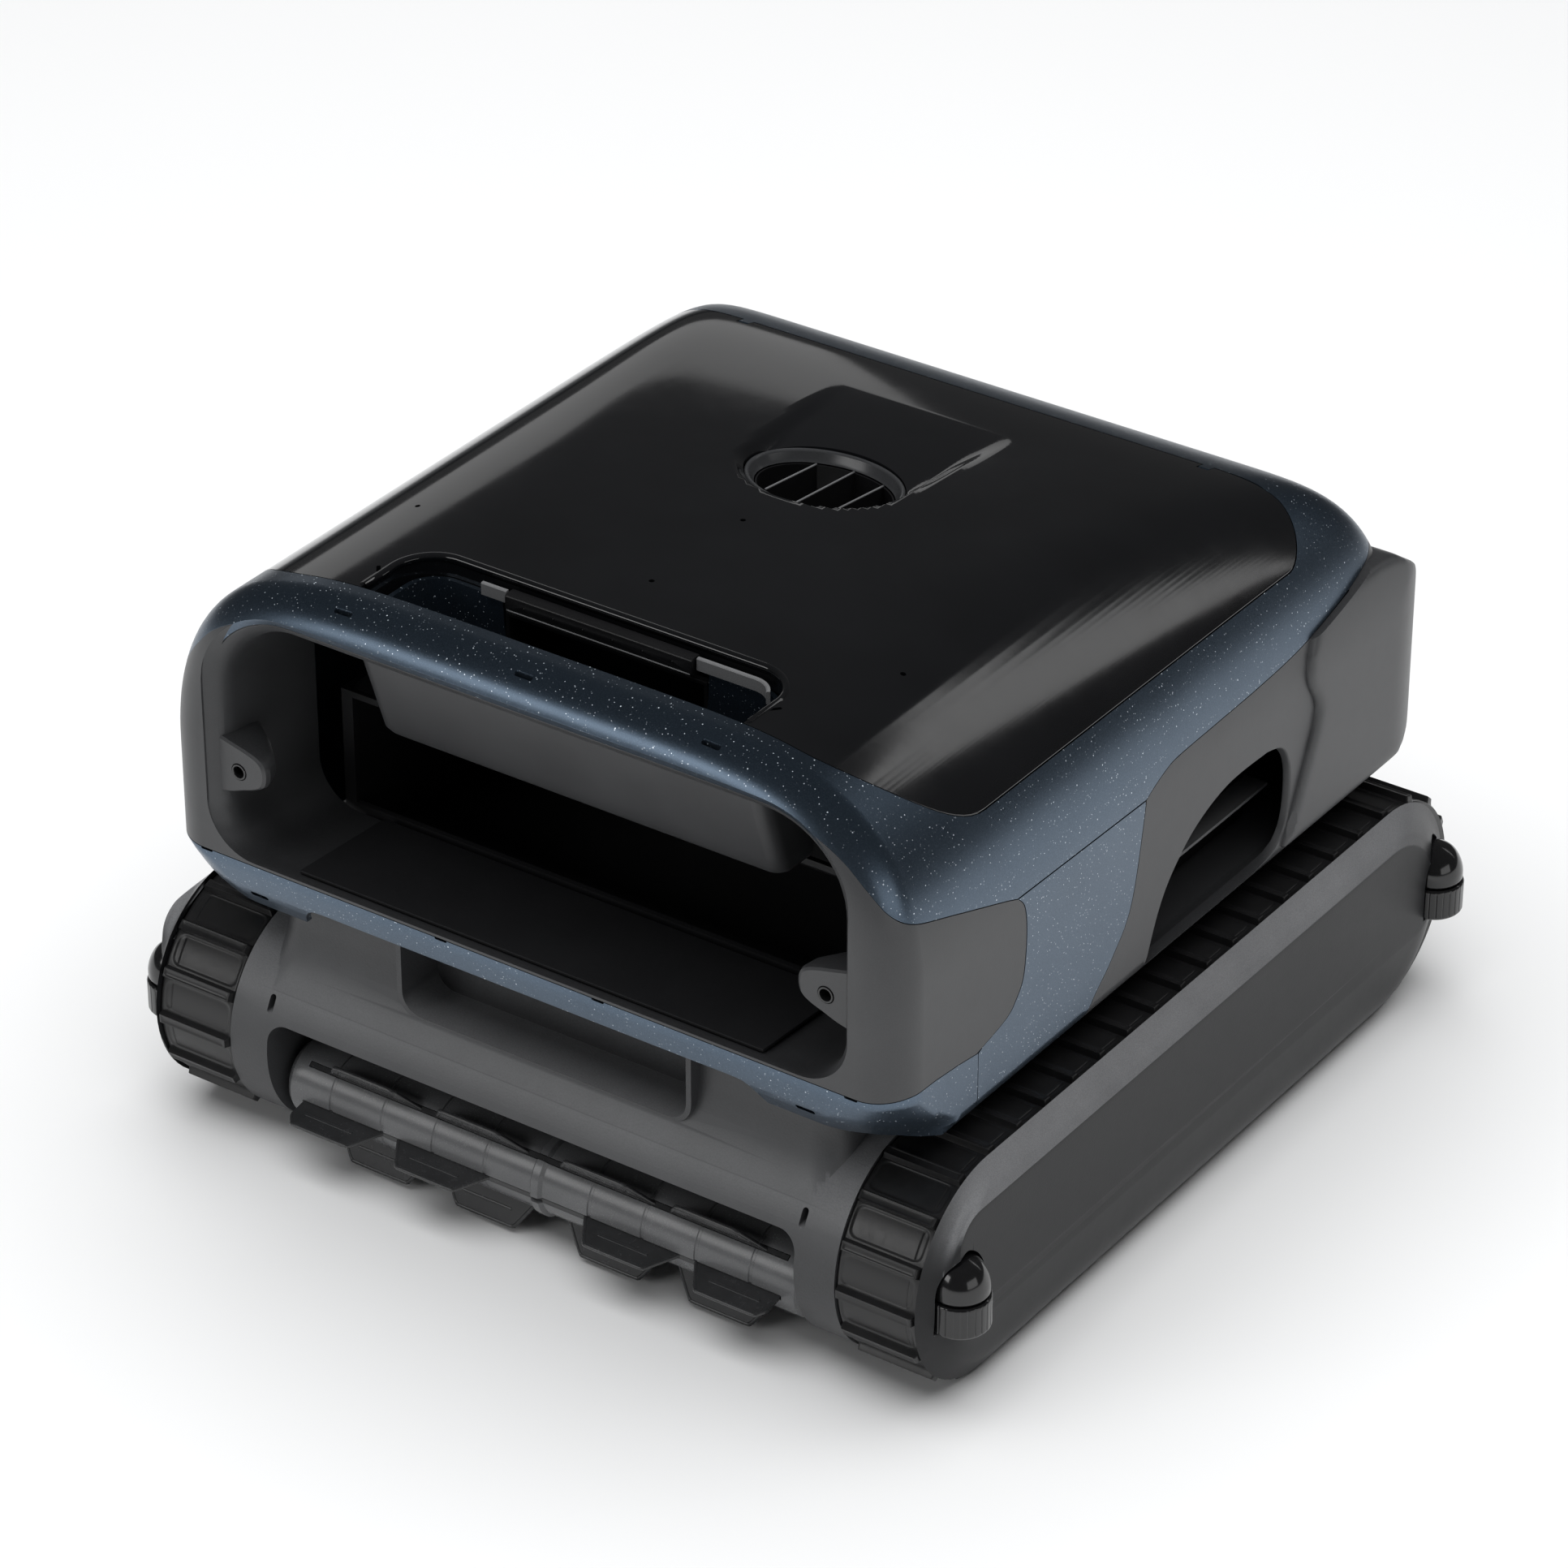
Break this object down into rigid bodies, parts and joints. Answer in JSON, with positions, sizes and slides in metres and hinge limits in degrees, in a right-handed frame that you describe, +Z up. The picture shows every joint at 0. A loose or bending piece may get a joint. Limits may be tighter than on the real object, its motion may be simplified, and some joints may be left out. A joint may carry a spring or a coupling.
{
  "type": "robotic pool cleaner",
  "caption": "Cordless robotic pool cleaner: boxy body with wide front mouth, gloss lid, side tracks with covers, roller brush below.",
  "frame": {"origin": "centre of the ground footprint, on the plane the tracks stand on", "axes": "+X across the body to its right when facing the way it drives, -Y towards the intake mouth, +Z up"},
  "size_m": [0.444, 0.4508, 0.2923],
  "materials": {
    "gloss_black": "high gloss, smooth",
    "metallic_blue": "metallic paint effect with fine sparkle flakes, satin gloss",
    "satin_grey": "satin, fine grain",
    "grained_grey": "fine pebble grain",
    "cover_grey": "satin, fine grain",
    "dark_grey": "matte",
    "satin_black": "satin",
    "light_grey": "satin",
    "vent_grey": "semi gloss",
    "roller_black": "gloss",
    "track_rubber": "moulded, semi gloss",
    "paddle_rubber": "moulded, smooth",
    "cell_blue": "shrink wrap",
    "steel": "turned"
  },
  "bodies": {
    "hull": {"lid_hinge_pin": "steel", "pump_motor": "steel", "drive_motor_l": "steel", "drive_motor_r": "steel", "front_axle_l": "steel", "front_axle_r": "steel", "rear_axle_l": "steel", "rear_axle_r": "steel", "finger_well": "satin_black", "core_housing": "satin_black", "window_slat_l": "light_grey", "window_slat_r": "light_grey", "hood_frame": "metallic_blue", "front_bumper": "metallic_blue", "side_panel_l": "metallic_blue", "side_panel_r": "metallic_blue", "hand_pocket": "metallic_blue", "mouth_duct": "satin_grey", "rear_hull": "satin_grey", "chassis": "grained_grey", "intake_floor": "dark_grey", "debris_basket": "dark_grey", "bottom_plate": "dark_grey", "control_box": "dark_grey", "lug_socket_l": "roller_black", "lug_socket_r": "roller_black", "roller_cap_front_l": "roller_black", "roller_cap_front_r": "roller_black", "roller_cap_rear_l": "roller_black", "roller_cap_rear_r": "roller_black", "battery_pack": "cell_blue", "side_cover_l": "cover_grey", "side_cover_r": "cover_grey", "track_l": "track_rubber", "track_r": "track_rubber"},
    "lid": {"top_lid": "gloss_black", "vent_rim": "vent_grey", "vent_grille": "satin_black", "bar_end_l": "light_grey", "bar_end_r": "light_grey"},
    "latch": {"latch_bar": "satin_black"},
    "brush": {"brush_core": "light_grey", "paddle_row_1": "paddle_rubber", "paddle_row_2": "paddle_rubber", "paddle_row_3": "paddle_rubber", "paddle_row_4": "paddle_rubber", "paddle_row_5": "paddle_rubber", "paddle_row_6": "paddle_rubber"},
    "drive_l": {"drive_wheel_l": "dark_grey"},
    "drive_r": {"drive_wheel_r": "dark_grey"},
    "idler_l": {"idler_wheel_l": "dark_grey"},
    "idler_r": {"idler_wheel_r": "dark_grey"},
    "roller_front_l": {"guide_roller_front_l": "track_rubber"},
    "roller_front_r": {"guide_roller_front_r": "track_rubber"},
    "roller_rear_l": {"guide_roller_rear_l": "track_rubber"},
    "roller_rear_r": {"guide_roller_rear_r": "track_rubber"},
    "impeller": {"impeller": "light_grey"}
  },
  "joints": [
    {"name": "lid_hinge", "type": "hinge", "parent": "hull", "child": "lid", "pos_m": [0, 0.1215, 0.2753], "axis": [-1, 0, 0], "range_deg": [0, 80]},
    {"name": "latch_press", "type": "slide", "parent": "lid", "child": "latch", "axis": [0, 1, 0], "range_m": [0, 0.0014], "stiffness_N_per_m": 400},
    {"name": "brush_spin", "type": "hinge", "parent": "hull", "child": "brush", "pos_m": [0, -0.1915, 0.0335], "axis": [1, 0, 0], "continuous": true},
    {"name": "drive_spin_l", "type": "hinge", "parent": "hull", "child": "drive_l", "pos_m": [0, 0.1685, 0.0539], "axis": [1, 0, 0], "continuous": true},
    {"name": "drive_spin_r", "type": "hinge", "parent": "hull", "child": "drive_r", "pos_m": [0, 0.1685, 0.0539], "axis": [1, 0, 0], "continuous": true},
    {"name": "idler_spin_l", "type": "hinge", "parent": "hull", "child": "idler_l", "pos_m": [0, -0.1658, 0.0539], "axis": [1, 0, 0], "continuous": true},
    {"name": "idler_spin_r", "type": "hinge", "parent": "hull", "child": "idler_r", "pos_m": [0, -0.1658, 0.0539], "axis": [1, 0, 0], "continuous": true},
    {"name": "roller_spin_front_l", "type": "hinge", "parent": "hull", "child": "roller_front_l", "pos_m": [-0.2084, -0.196, 0.0517], "axis": [0, 0, 1], "continuous": true},
    {"name": "roller_spin_front_r", "type": "hinge", "parent": "hull", "child": "roller_front_r", "pos_m": [0.2084, -0.196, 0.0517], "axis": [0, 0, 1], "continuous": true},
    {"name": "roller_spin_rear_l", "type": "hinge", "parent": "hull", "child": "roller_rear_l", "pos_m": [-0.2084, 0.196, 0.0517], "axis": [0, 0, 1], "continuous": true},
    {"name": "roller_spin_rear_r", "type": "hinge", "parent": "hull", "child": "roller_rear_r", "pos_m": [0.2084, 0.196, 0.0517], "axis": [0, 0, 1], "continuous": true},
    {"name": "impeller_spin", "type": "hinge", "parent": "hull", "child": "impeller", "pos_m": [0, 0.007, 0.235], "axis": [0, 0, 1], "continuous": true}
  ],
  "couplings": [
    {"joint": "idler_spin_l", "follows": "drive_spin_l", "ratio": 1},
    {"joint": "idler_spin_r", "follows": "drive_spin_r", "ratio": 1}
  ]
}
